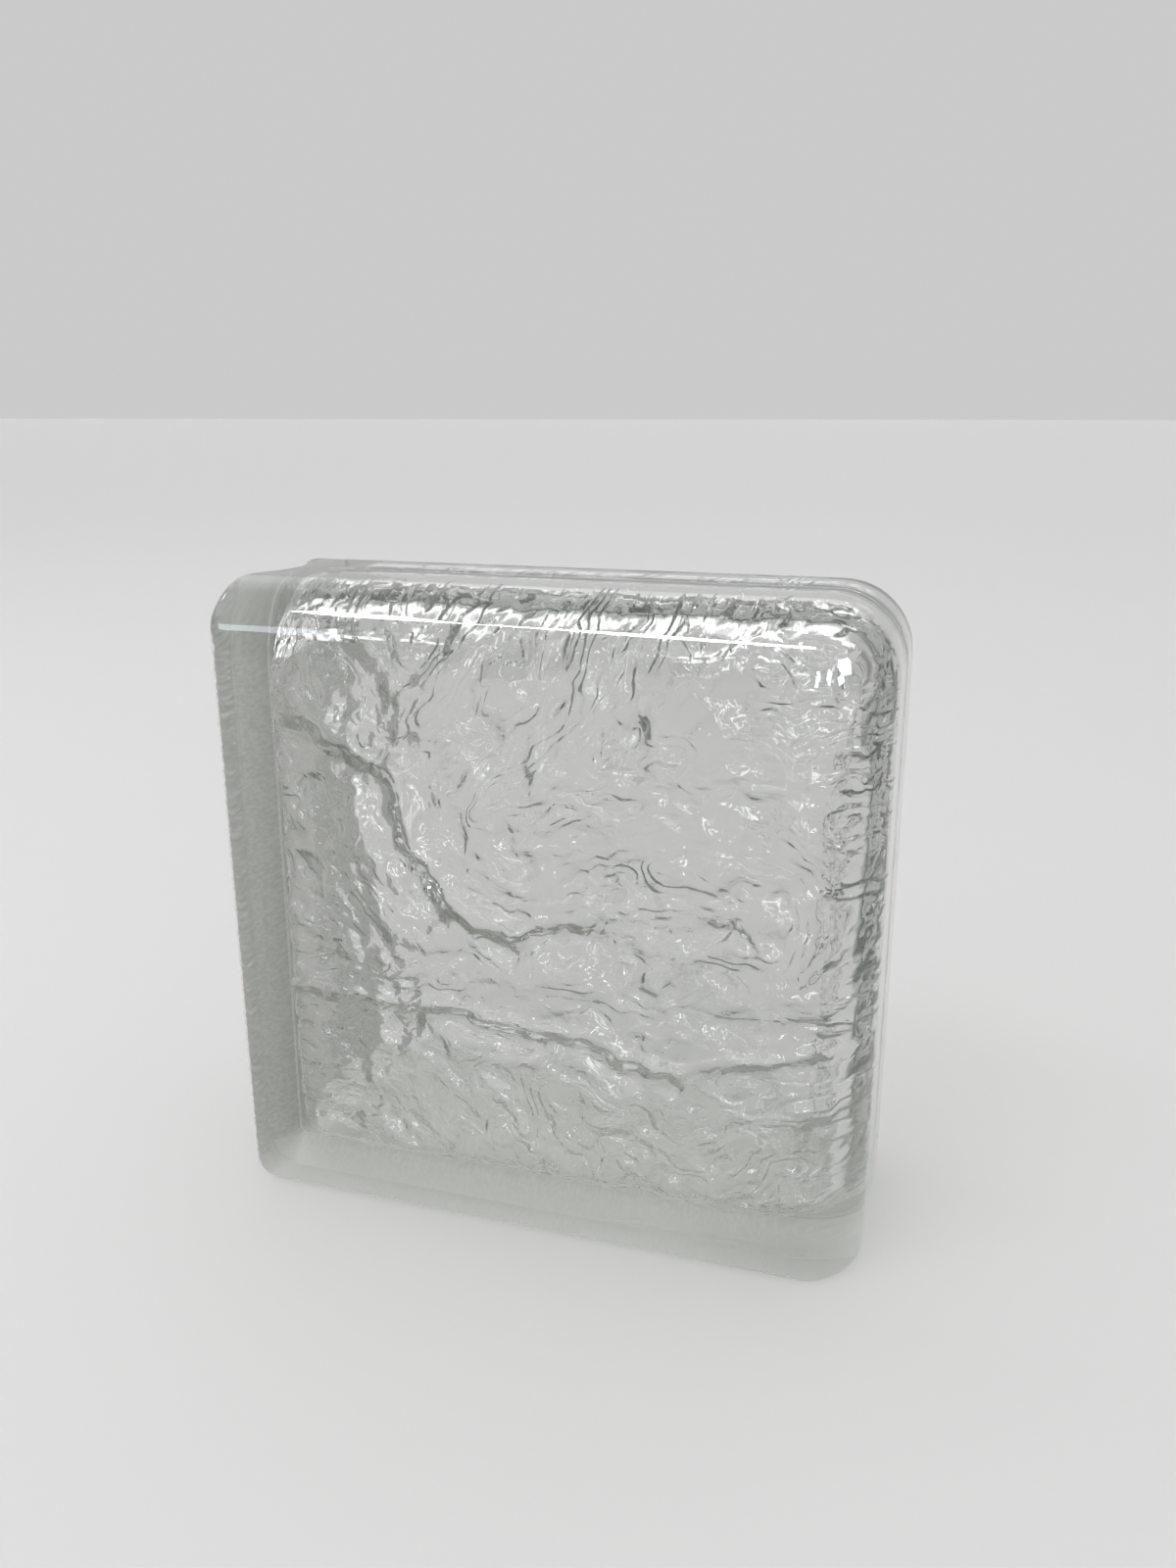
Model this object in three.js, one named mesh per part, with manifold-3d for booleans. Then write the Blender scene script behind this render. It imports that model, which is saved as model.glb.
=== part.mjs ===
// Corner-finishing hollow glass block: two pressed half-shells fused rim to rim.
// Millimetres, +Z up, the front face towards -Y, the origin under the middle of the block.
// The top and the right-hand side are finished glass, the bottom and the left-hand side take mortar.

import * as THREE from 'three';
import { mergeVertices } from 'three/addons/utils/BufferGeometryUtils.js';
import { ImprovedNoise } from 'three/addons/math/ImprovedNoise.js';
import Module from 'manifold-3d';

// Block
const WIDTH = 190;
const HEIGHT = 190;
const DEPTH = 80;

// Pressed glass thicknesses
const FACE_THICKNESS = 9;
const MORTAR_WALL = 8;
const FINISHED_WALL = 9.5;
const MORTAR_DRAFT = 7.5;
const FINISHED_DRAFT = 2;

// Edges between the two faces and the sides
const FINISHED_EDGE_RADIUS = 20.8;
const RIM_RADIUS = 5;
const SEAM_RADIUS = 0.8;

// Upright corners of the outline, seen from the front
const FINISHED_CORNER_RADIUS = 20;
const MORTAR_CORNER_RADIUS = 9;
const END_CORNER_RADIUS = 4;
const SHARPEST_CORNER = 0.6;

// Mortar sides: a flat lip behind each face, then a keyway down to the seam
const LIP_WIDTH = 23;
const KEY_DEPTH = 5.5;

// Cavity: a tight fillet on the mortar sides, a wide one that follows the finished edges
const CAVITY_CORNER_RADIUS = 9;
const MORTAR_FILLET = 3;
const FINISHED_FILLET = 12;

// Ice relief that the plunger presses into the inside of each face
const RIDGE_HEIGHT = 1.3;
const RIDGE_LENGTH = 34;
const RIPPLE_HEIGHT = 0.55;
const RIPPLE_LENGTH = 13;
const DRIFT = 16;
const DRIFT_LENGTH = 60;
const RELIEF_PITCH = 3.9;

// How much of the wide fillet the relief follows before the smooth wall takes over
const RELIEF_REACH = 0.75;

// Facets
const CORNER_SEGMENTS = 7;
const EDGE_SEGMENTS = 8;
const KEY_SEGMENTS = 6;

// How far the plunger's tool runs past the seam, so that the cut leaves a clean rim
const PLUNGER_OVERRUN = 6;

const HALF_DEPTH = DEPTH / 2;
const RELIEF_DEPTH = RIDGE_HEIGHT + RIPPLE_HEIGHT;
const NOSE_DEPTH = FACE_THICKNESS - RELIEF_DEPTH;
const NOSE_FILLET = FINISHED_FILLET + RELIEF_DEPTH;
const QUARTER_TURN = Math.PI / 2;

const wasm = await Module();
wasm.setup();
const noise = new ImprovedNoise();

// How far a rounded edge of the given radius lies inside its side, at a distance from the edge's end.
function roundingInset(radius, distance) {
  if (distance >= radius) {
    return 0;
  }
  const toCentre = radius - distance;
  return radius - Math.sqrt(radius * radius - toCentre * toCentre);
}

// The fire-polished rim where the two halves meet.
function seamInset(depth) {
  return roundingInset(SEAM_RADIUS, HALF_DEPTH - depth);
}

// Concave key between the lip and the seam.
function keyInset(depth) {
  if (depth <= LIP_WIDTH) {
    return 0;
  }
  const share = (depth - LIP_WIDTH) / (HALF_DEPTH - LIP_WIDTH);
  return KEY_DEPTH * Math.sin(share * QUARTER_TURN);
}

function mortarInset(depth) {
  return roundingInset(RIM_RADIUS, depth) + keyInset(depth) + seamInset(depth);
}

function finishedInset(depth) {
  return roundingInset(FINISHED_EDGE_RADIUS, depth) + seamInset(depth);
}

// Depths at which a rounded edge is sampled, evenly spaced round its arc.
function arcDepths(radius, segments) {
  const angles = Array.from({ length: segments + 1 }, (_, step) => (step / segments) * QUARTER_TURN);
  return angles.map((angle) => radius * (1 - Math.cos(angle)));
}

function evenDepths(from, to, segments) {
  return Array.from({ length: segments + 1 }, (_, step) => from + ((to - from) * step) / segments);
}

function sortedStations(depths) {
  const spacing = 0.05;
  const ordered = [...depths].sort((a, b) => a - b);
  return ordered.filter((depth, index) => index === 0 || depth - ordered[index - 1] > spacing);
}

// One corner of an outline as a quarter arc.
function cornerArc(centreX, centreZ, radius, quarter) {
  const start = quarter * QUARTER_TURN;
  const end = start + QUARTER_TURN;
  return new THREE.EllipseCurve(centreX, centreZ, radius, radius, start, end).getPoints(CORNER_SEGMENTS);
}

// Rounded rectangle, counter-clockwise from the finished corner at the top right.
function outline(inset, radii) {
  const left = inset.mortar - inset.width / 2;
  const right = inset.width / 2 - inset.finished;
  const bottom = inset.mortar - inset.height / 2;
  const top = inset.height / 2 - inset.finished;
  return [
    ...cornerArc(right - radii.finished, top - radii.finished, radii.finished, 0),
    ...cornerArc(left + radii.end, top - radii.end, radii.end, 1),
    ...cornerArc(left + radii.mortar, bottom + radii.mortar, radii.mortar, 2),
    ...cornerArc(right - radii.end, bottom + radii.end, radii.end, 3),
  ];
}

// Section of the outside of a half at a depth behind its face.
function outerSection(size, depth) {
  const mortar = mortarInset(depth);
  const finished = finishedInset(depth);
  const inset = { ...size, mortar, finished };
  const radii = {
    finished: Math.max(FINISHED_CORNER_RADIUS - finished, SHARPEST_CORNER),
    end: END_CORNER_RADIUS,
    mortar: Math.max(MORTAR_CORNER_RADIUS - mortar, SHARPEST_CORNER),
  };
  return { depth, points: outline(inset, radii) };
}

// Distances from the sides of the box to the drafted cavity walls, at a depth behind the face.
function mortarWallInset(depth) {
  return KEY_DEPTH + MORTAR_WALL + (HALF_DEPTH - depth) * Math.tan(THREE.MathUtils.degToRad(MORTAR_DRAFT));
}

function finishedWallInset(depth) {
  return FINISHED_WALL + (HALF_DEPTH - depth) * Math.tan(THREE.MathUtils.degToRad(FINISHED_DRAFT));
}

// Section of the cavity: drafted walls, with fillets where they meet the face.
function cavitySection(size, depth) {
  const mortar = mortarWallInset(depth) + roundingInset(MORTAR_FILLET, depth - NOSE_DEPTH);
  const finished = finishedWallInset(depth) + roundingInset(NOSE_FILLET, depth - NOSE_DEPTH);
  const radius = CAVITY_CORNER_RADIUS;
  return { depth, points: outline({ ...size, mortar, finished }, { finished: radius, end: radius, mortar: radius }) };
}

// Sections laid one behind the other and joined into one closed skin, the first facing -Y.
function loft(sections) {
  const count = sections[0].points.length;
  const positions = sections.flatMap(({ depth, points }) => points.flatMap(({ x, y }) => [x, depth - HALF_DEPTH, y]));
  const cap = THREE.ShapeUtils.triangulateShape(sections[0].points, []);
  const lastRing = (sections.length - 1) * count;
  const index = cap.flat();
  for (let ring = 0; ring < sections.length - 1; ring += 1) {
    for (let step = 0; step < count; step += 1) {
      const here = ring * count + step;
      const next = ring * count + ((step + 1) % count);
      index.push(here, here + count, next, next, here + count, next + count);
    }
  }
  const farCap = THREE.ShapeUtils.triangulateShape(sections[sections.length - 1].points, []);
  farCap.forEach(([a, b, c]) => index.push(lastRing + a, lastRing + c, lastRing + b));
  const geometry = new THREE.BufferGeometry();
  geometry.setAttribute('position', new THREE.Float32BufferAttribute(positions, 3));
  geometry.setIndex(index);
  return geometry;
}

// Height of the ice relief over a point of the face: drifting ridges with ripples between them.
function iceRelief(x, z) {
  const driftX = DRIFT * noise.noise(x / DRIFT_LENGTH, z / DRIFT_LENGTH, 1);
  const driftZ = DRIFT * noise.noise(x / DRIFT_LENGTH, z / DRIFT_LENGTH, 2);
  const ridgeNoise = noise.noise((x + driftX) / RIDGE_LENGTH, (z + driftZ) / RIDGE_LENGTH, 3);
  const rippleNoise = noise.noise((x + driftZ) / RIPPLE_LENGTH, (z + driftX) / RIPPLE_LENGTH, 4);
  return RIDGE_HEIGHT * (1 - 2 * Math.abs(ridgeNoise)) + RIPPLE_HEIGHT * rippleNoise;
}

// How far the cavity's face curves back towards the finished sides, over a point of the face.
function faceCurve(size, x, z) {
  const wall = finishedWallInset(FACE_THICKNESS);
  const pastX = Math.max(0, FINISHED_FILLET - (size.width / 2 - wall - x));
  const pastZ = Math.max(0, FINISHED_FILLET - (size.height / 2 - wall - z));
  const past = Math.hypot(pastX, pastZ);
  const reach = Math.min(past, RELIEF_REACH * FINISHED_FILLET);
  const height = Math.sqrt(FINISHED_FILLET * FINISHED_FILLET - reach * reach);
  return FINISHED_FILLET - height + ((past - reach) * reach) / height;
}

// Nose of the plunger: a block whose leading side curves with the face and carries the relief.
function reliefBlock(size) {
  const thickness = HALF_DEPTH + PLUNGER_OVERRUN - FACE_THICKNESS;
  const columns = Math.round(size.width / RELIEF_PITCH);
  const rows = Math.round(size.height / RELIEF_PITCH);
  const block = new THREE.BoxGeometry(size.width, thickness, size.height, columns, 1, rows);
  const position = block.attributes.position;
  for (let vertex = 0; vertex < position.count; vertex += 1) {
    const x = position.getX(vertex);
    const y = position.getY(vertex);
    const z = position.getZ(vertex);
    if (y < 0) {
      position.setY(vertex, y + faceCurve(size, x, z) - iceRelief(x, z));
    }
  }
  return block.translate(0, FACE_THICKNESS - HALF_DEPTH + thickness / 2, 0);
}

function toSolid(geometry) {
  const bare = geometry.clone();
  bare.deleteAttribute('normal');
  bare.deleteAttribute('uv');
  const merged = mergeVertices(bare);
  const mesh = new wasm.Mesh({
    numProp: 3,
    vertProperties: new Float32Array(merged.attributes.position.array),
    triVerts: new Uint32Array(merged.index.array),
  });
  return new wasm.Manifold(mesh);
}

function toGeometry(solid) {
  const mesh = solid.getMesh();
  const geometry = new THREE.BufferGeometry();
  geometry.setAttribute('position', new THREE.BufferAttribute(mesh.vertProperties, mesh.numProp));
  geometry.setIndex(new THREE.BufferAttribute(mesh.triVerts, 1));
  return geometry;
}

// Outside of one half, from its face at the front to the seam.
function blankSolid(size) {
  const stations = sortedStations([
    ...arcDepths(FINISHED_EDGE_RADIUS, EDGE_SEGMENTS),
    ...arcDepths(RIM_RADIUS, EDGE_SEGMENTS / 2),
    ...evenDepths(LIP_WIDTH, HALF_DEPTH, KEY_SEGMENTS),
    HALF_DEPTH - SEAM_RADIUS,
  ]);
  return toSolid(loft(stations.map((depth) => outerSection(size, depth))));
}

// The plunger: drafted walls cut to the relief at the nose.
function plungerSolid(size) {
  const mortarDepths = arcDepths(MORTAR_FILLET, EDGE_SEGMENTS / 2);
  const finishedDepths = arcDepths(NOSE_FILLET, EDGE_SEGMENTS);
  const filletDepths = [...mortarDepths, ...finishedDepths].map((depth) => NOSE_DEPTH + depth);
  const stations = sortedStations([...filletDepths, HALF_DEPTH + PLUNGER_OVERRUN]);
  const walls = toSolid(loft(stations.map((depth) => cavitySection(size, depth))));
  return walls.intersect(toSolid(reliefBlock(size)));
}

// One pressed half in front of the seam.
function pressedHalf(size) {
  return toGeometry(blankSolid(size).subtract(plungerSolid(size)));
}

// A half turned over about the diagonal through its finished corner, which brings it behind the seam.
function turnedOver(geometry) {
  const turn = new THREE.Matrix4();
  turn.set(0, 0, 1, 0, 0, -1, 0, 0, 1, 0, 0, 0, 0, 0, 0, 1);
  return geometry.applyMatrix4(turn);
}

function namedMesh(name, geometry) {
  const glass = new THREE.MeshStandardMaterial({ color: 0xc9d6cf, roughness: 0.05, metalness: 0 });
  glass.transparent = true;
  glass.opacity = 0.35;
  const mesh = new THREE.Mesh(geometry, glass);
  mesh.name = name;
  mesh.position.z = HEIGHT / 2;
  return mesh;
}

const block = new THREE.Group();
block.add(namedMesh('front_half', pressedHalf({ width: WIDTH, height: HEIGHT })));
block.add(namedMesh('back_half', turnedOver(pressedHalf({ width: HEIGHT, height: WIDTH }))));

export default block;
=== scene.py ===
"""Hollow glass block with two finished sides: two pressed halves fused into one clear body."""

import logging  # noqa: E402
import math  # noqa: E402
from dataclasses import dataclass  # noqa: E402
from enum import Enum, IntEnum  # noqa: E402
from typing import Any, Callable, Iterable  # noqa: E402

import bmesh  # noqa: E402
import bpy  # noqa: E402
from mathutils import Euler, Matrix, Quaternion, Vector  # noqa: E402


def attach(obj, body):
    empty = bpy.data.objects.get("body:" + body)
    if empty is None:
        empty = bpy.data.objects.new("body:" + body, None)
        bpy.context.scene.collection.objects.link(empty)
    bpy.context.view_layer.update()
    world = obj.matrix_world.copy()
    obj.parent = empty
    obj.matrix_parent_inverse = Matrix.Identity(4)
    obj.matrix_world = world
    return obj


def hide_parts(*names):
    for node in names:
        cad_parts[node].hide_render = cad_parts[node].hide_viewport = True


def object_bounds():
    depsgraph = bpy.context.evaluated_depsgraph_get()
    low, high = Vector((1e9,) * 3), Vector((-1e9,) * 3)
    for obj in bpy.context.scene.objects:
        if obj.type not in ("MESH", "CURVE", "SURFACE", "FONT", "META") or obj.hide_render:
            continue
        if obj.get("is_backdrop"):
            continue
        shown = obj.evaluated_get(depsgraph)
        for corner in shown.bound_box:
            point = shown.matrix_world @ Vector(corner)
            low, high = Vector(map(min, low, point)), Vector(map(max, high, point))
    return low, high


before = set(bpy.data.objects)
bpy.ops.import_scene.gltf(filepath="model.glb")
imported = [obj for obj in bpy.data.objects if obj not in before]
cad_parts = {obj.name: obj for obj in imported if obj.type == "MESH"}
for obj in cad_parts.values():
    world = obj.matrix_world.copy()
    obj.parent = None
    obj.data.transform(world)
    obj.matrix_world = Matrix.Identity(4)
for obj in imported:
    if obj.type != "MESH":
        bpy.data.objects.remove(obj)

Socket = bpy.types.NodeSocket
Sockets = tuple[Socket, Socket, Socket]

MM = 0.001
QUARTER_TURN = math.pi / 2
# How far the block stays inside its box.
SKIN = 0.001 * MM
# Below these, two places count as one, two vertices are merged, and a corner counts as unchanged.
TOUCHING = 0.001 * MM
MERGED = 0.01 * MM
UNCHANGED = 1e-9
# How far the hollows lie beside and below the two longest folds.
VALLEY_BESIDE = 6.2 * MM
VALLEY_DROP = 4 * MM
LONG_VALLEY_DROP = 5 * MM
# Which inputs of a colour mix are its share and its two colours.
MIX_INPUTS = (0, 6, 7)
# Names under which the mesh keeps the values that the glass reads.
FLOW = "flow"
LIVELY = "lively"
SAND = "sand"
LOG = logging.getLogger("glass_block")


class Axis(IntEnum):
    """The axes of the part's own frame, as places in a vector."""

    X = 0
    Y = 1
    Z = 2


class Corner(Enum):
    """The four corners of the block's outline, as the sides that meet there."""

    TOP_RIGHT = (1, 1)
    TOP_LEFT = (-1, 1)
    BOTTOM_LEFT = (-1, -1)
    BOTTOM_RIGHT = (1, -1)


@dataclass(frozen=True)
class Section:
    """One section of the block across its depth.

    Args:
        y: place of the section, from the front at -Y to the back.
        left, right, bottom, top: where its four sides lie.
        radii: radius of each corner.
    """

    y: float
    left: float
    right: float
    bottom: float
    top: float
    radii: dict[Corner, float]

    def arc_centre(self, corner: Corner) -> Vector:
        """Centre of a corner's arc.

        Args:
            corner: which corner.

        Returns:
            The centre, at the section's own depth.
        """
        side_x, side_z = corner.value
        x = self.right if side_x > 0 else self.left
        z = self.top if side_z > 0 else self.bottom
        radius = self.radii[corner]
        return Vector((x - side_x * radius, self.y, z - side_z * radius))


# ---------------------------------------------------------------- hand tools


def clear_selection() -> None:
    """Deselects every object."""
    bpy.ops.object.select_all(action="DESELECT")


def activate(piece: bpy.types.Object) -> None:
    """Makes one object the only selected one, and the active one.

    Args:
        piece: the object.
    """
    clear_selection()
    piece.select_set(True)
    bpy.context.view_layer.objects.active = piece


def edit_mesh(piece: bpy.types.Object) -> bmesh.types.BMesh:
    """The edit mesh of the piece being edited, with its tables ready.

    Args:
        piece: the object being edited.

    Returns:
        Its edit mesh.
    """
    mesh = bmesh.from_edit_mesh(piece.data)
    mesh.verts.ensure_lookup_table()
    return mesh


def select_vertices(piece: bpy.types.Object, wanted: Iterable[int]) -> None:
    """Selects exactly these vertices of the piece being edited.

    Args:
        piece: the object being edited.
        wanted: the indices of the vertices.
    """
    bpy.ops.mesh.select_all(action="DESELECT")
    mesh = edit_mesh(piece)
    for index in wanted:
        mesh.verts[index].select = True
    mesh.select_flush_mode()
    bmesh.update_edit_mesh(piece.data)


def selected_vertices(piece: bpy.types.Object) -> list[int]:
    """Indices of the selected vertices of the piece being edited."""
    return [vertex.index for vertex in edit_mesh(piece).verts if vertex.select]


def select_edges(piece: bpy.types.Object, wanted: Callable[[bmesh.types.BMEdge], bool]) -> None:
    """Selects exactly the wanted edges of the piece being edited.

    Args:
        piece: the object being edited.
        wanted: tells whether an edge is wanted.
    """
    bpy.ops.mesh.select_mode(type="EDGE")
    bpy.ops.mesh.select_all(action="DESELECT")
    mesh = edit_mesh(piece)
    for edge in mesh.edges:
        edge.select = wanted(edge)
    mesh.select_flush_mode()
    bmesh.update_edit_mesh(piece.data)


def select_open_edges(piece: bpy.types.Object) -> None:
    """Selects the open outline of the piece being edited."""
    select_edges(piece, lambda edge: edge.is_boundary)


def close_shell(inside: bool) -> None:
    """Turns all faces of the mesh being edited inwards or outwards, and leaves the edit.

    Args:
        inside: whether the faces turn inwards.
    """
    bpy.ops.mesh.select_all(action="SELECT")
    bpy.ops.mesh.normals_make_consistent(inside=inside)
    bpy.ops.object.mode_set(mode="OBJECT")


def apply_modifier(piece: bpy.types.Object, kind: str, **settings: Any) -> None:
    """Adds a modifier to a piece and applies it.

    Args:
        piece: the object to change.
        kind: the modifier's type.
        settings: its values.
    """
    activate(piece)
    modifier = piece.modifiers.new(kind.lower(), kind)
    for name, value in settings.items():
        setattr(modifier, name, value)
    bpy.ops.object.modifier_apply(modifier=modifier.name)


def settle(piece: bpy.types.Object) -> None:
    """Moves a piece's place, turn and size into its mesh."""
    activate(piece)
    bpy.ops.object.transform_apply(location=True, rotation=True, scale=True)


def move_origin(piece: bpy.types.Object, place: Iterable[float]) -> None:
    """Moves a piece's origin to a place, without moving its mesh.

    Args:
        piece: the object.
        place: where its origin goes.
    """
    cursor = bpy.context.scene.cursor
    activate(piece)
    cursor.location = place
    bpy.ops.object.origin_set(type="ORIGIN_CURSOR")
    cursor.location = (0, 0, 0)


# ---------------------------------------------------------------- the block's sizes


def rounding_inset(radius: float, distance: float) -> float:
    """How far a rounded edge lies inside its side, at a distance from where the edge starts.

    Args:
        radius: radius of the rounded edge.
        distance: distance along the side from the edge's start.

    Returns:
        The inset, which is 0 past the rounded edge.
    """
    if distance >= radius:
        return 0.0
    to_centre = radius - distance
    return radius - math.sqrt(radius * radius - to_centre * to_centre)


def arc_depths(radius: float, steps: int) -> list[float]:
    """Depths of the sections that sample a rounded edge evenly round its arc."""
    return [radius * (1 - math.cos(QUARTER_TURN * step / steps)) for step in range(steps + 1)]


def even_depths(start: float, end: float, steps: int) -> list[float]:
    """Depths of evenly spaced sections."""
    return [start + (end - start) * step / steps for step in range(steps + 1)]


def in_order(depths: list[float], spacing: float) -> list[float]:
    """The depths sorted, without those closer than the spacing to the one before.

    Args:
        depths: the depths, in any order.
        spacing: the least distance from one to the next.

    Returns:
        The depths that are kept, from the front to the back.
    """
    kept: list[float] = []
    for depth in sorted(depths):
        if not kept or depth - kept[-1] > spacing:
            kept.append(depth)
    return kept


@dataclass
class BlockSizes:
    """Sizes of the block, in metres. The box comes from the bounds of the imported parts."""

    low: Vector
    high: Vector
    face_thickness: float = 9 * MM
    mortar_wall: float = 8 * MM
    finished_wall: float = 9.5 * MM
    mortar_draft: float = math.radians(7.5)
    finished_draft: float = math.radians(2)
    finished_edge_radius: float = 20.8 * MM
    rim_radius: float = 5 * MM
    seam_radius: float = 0.8 * MM
    finished_corner_radius: float = 20 * MM
    mortar_corner_radius: float = 9 * MM
    end_corner_radius: float = 4 * MM
    sharpest_corner: float = 0.6 * MM
    lip_width: float = 23 * MM
    rib_start: float = 0.3 * MM
    key_depth: float = 5.5 * MM
    cavity_corner_radius: float = 9 * MM
    mortar_fillet: float = 3 * MM
    finished_fillet: float = 12 * MM

    @property
    def half_depth(self) -> float:
        """Depth of one half, from its face to the seam."""
        return (self.high.y - self.low.y) / 2

    def section(self, depth: float, mortar: float, finished: float, radii: dict[Corner, float]) -> Section:
        """A section whose sides lie inside the box by the two insets.

        Args:
            depth: how far the section lies behind the front face.
            mortar: inset of the left side and the bottom.
            finished: inset of the right side and the top.
            radii: radius of each corner.

        Returns:
            The section.
        """
        return Section(
            y=self.low.y + depth,
            left=self.low.x + mortar,
            right=self.high.x - finished,
            bottom=self.low.z + mortar,
            top=self.high.z - finished,
            radii=radii,
        )

    def key_inset(self, depth: float) -> float:
        """Depth of the concave key between the lip and the seam.

        Args:
            depth: how far the section lies behind the front face.

        Returns:
            The inset, which is 0 as far back as the lip goes.
        """
        if depth <= self.lip_width:
            return 0.0
        share = (depth - self.lip_width) / (self.half_depth - self.lip_width)
        return self.key_depth * math.sin(share * QUARTER_TURN)

    def outer_section(self, depth: float) -> Section:
        """Section of the outside at a depth behind the front face.

        Args:
            depth: how far the section lies behind the front face.

        Returns:
            The section, with its edges rounded and its key cut in.
        """
        seam = rounding_inset(self.seam_radius, self.half_depth - depth)
        mortar = rounding_inset(self.rim_radius, depth) + self.key_inset(depth) + seam
        finished = rounding_inset(self.finished_edge_radius, depth) + seam
        radii = {
            Corner.TOP_RIGHT: max(self.finished_corner_radius - finished, self.sharpest_corner),
            Corner.TOP_LEFT: self.end_corner_radius,
            Corner.BOTTOM_LEFT: max(self.mortar_corner_radius - mortar, self.sharpest_corner),
            Corner.BOTTOM_RIGHT: self.end_corner_radius,
        }
        return self.section(depth, mortar, finished, radii)

    def cavity_section(self, depth: float) -> Section:
        """Section of the cavity at a depth behind the front face.

        Args:
            depth: how far the section lies behind the front face.

        Returns:
            The section, with its drafted walls and its fillets.
        """
        to_seam = self.half_depth - depth
        past_face = depth - self.face_thickness
        mortar = self.key_depth + self.mortar_wall + to_seam * math.tan(self.mortar_draft)
        mortar += rounding_inset(self.mortar_fillet, past_face)
        finished = self.finished_wall + to_seam * math.tan(self.finished_draft)
        finished += rounding_inset(self.finished_fillet, past_face)
        radii = {corner: self.cavity_corner_radius for corner in Corner}
        return self.section(depth, mortar, finished, radii)


# ---------------------------------------------------------------- lofting by extrusion


def add_rectangle(name: str, section: Section) -> bpy.types.Object:
    """Adds a plain rectangle that fills a section.

    Args:
        name: the new object's name.
        section: where its four sides lie.

    Returns:
        The new object, with its place in its mesh.
    """
    centre = ((section.left + section.right) / 2, section.y, (section.bottom + section.top) / 2)
    clear_selection()
    bpy.ops.mesh.primitive_plane_add(size=1, location=centre, rotation=(QUARTER_TURN, 0, 0))
    piece = bpy.context.object
    piece.name = name
    piece.data.name = name
    piece.scale = (section.right - section.left, section.top - section.bottom, 1)
    settle(piece)
    return piece


@dataclass
class Loft:
    """A shell drawn from section to section: one outline, extruded and shaped at each step."""

    name: str
    sections: list[Section]
    corner_steps: int = 12
    face_border: float = 0.6 * MM

    def build(self) -> bpy.types.Object:
        """Builds the body, open at its last section.

        Returns:
            The new object, with its place in its mesh.
        """
        piece = add_rectangle(self.name, self.sections[0])
        bpy.ops.object.mode_set(mode="EDIT")
        bpy.ops.mesh.select_mode(type="VERT")
        self._round_corners(piece)
        bpy.ops.mesh.select_all(action="SELECT")
        bpy.ops.mesh.inset(thickness=self.face_border, depth=0)
        select_open_edges(piece)
        for here, after in zip(self.sections, self.sections[1:]):
            self._extrude_to(piece, here, after)
        close_shell(inside=False)
        return piece

    def _round_corners(self, piece: bpy.types.Object) -> None:
        """Rounds each corner of the rectangle with its own radius.

        Args:
            piece: the object being edited.
        """
        first = self.sections[0]
        for corner in Corner:
            side_x, side_z = corner.value
            target = first.arc_centre(corner) + Vector((side_x, 0, side_z)) * first.radii[corner]
            near = [v.index for v in edit_mesh(piece).verts if (v.co - target).length < TOUCHING]
            select_vertices(piece, near)
            bpy.ops.mesh.bevel(
                affect="VERTICES", offset=first.radii[corner], segments=self.corner_steps, profile=0.5
            )

    def _extrude_to(self, piece: bpy.types.Object, here: Section, after: Section) -> None:
        """Extrudes the outline to the next section and shapes its corners.

        Args:
            piece: the object being edited.
            here: the section that the outline has reached.
            after: the next section.
        """
        move = {"value": (0, after.y - here.y, 0)}
        bpy.ops.mesh.extrude_edges_move(TRANSFORM_OT_translate=move)
        ring = selected_vertices(piece)
        middle_x = (here.left + here.right) / 2
        middle_z = (here.bottom + here.top) / 2
        places = {index: edit_mesh(piece).verts[index].co.copy() for index in ring}
        for corner in Corner:
            side_x, side_z = corner.value
            group = [
                index
                for index, place in places.items()
                if (place.x - middle_x) * side_x > 0 and (place.z - middle_z) * side_z > 0
            ]
            self._shape_corner(piece, group, corner, here, after)
        select_open_edges(piece)

    def _shape_corner(
        self, piece: bpy.types.Object, group: list[int], corner: Corner, here: Section, after: Section
    ) -> None:
        """Scales a corner's arc to its new radius and moves it to its new place.

        Args:
            piece: the object being edited.
            group: indices of the arc's vertices.
            corner: which corner.
            here: the section that the arc was made for.
            after: the section that it is to fit.
        """
        growth = after.radii[corner] / here.radii[corner]
        old_centre = here.arc_centre(corner)
        old_centre.y = after.y
        shift = after.arc_centre(corner) - old_centre
        if abs(growth - 1) < UNCHANGED and shift.length < UNCHANGED:
            return
        bpy.ops.mesh.select_mode(type="VERT")
        select_vertices(piece, group)
        bpy.ops.transform.resize(value=(growth, 1, growth), center_override=old_centre)
        bpy.ops.transform.translate(value=shift)


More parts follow.
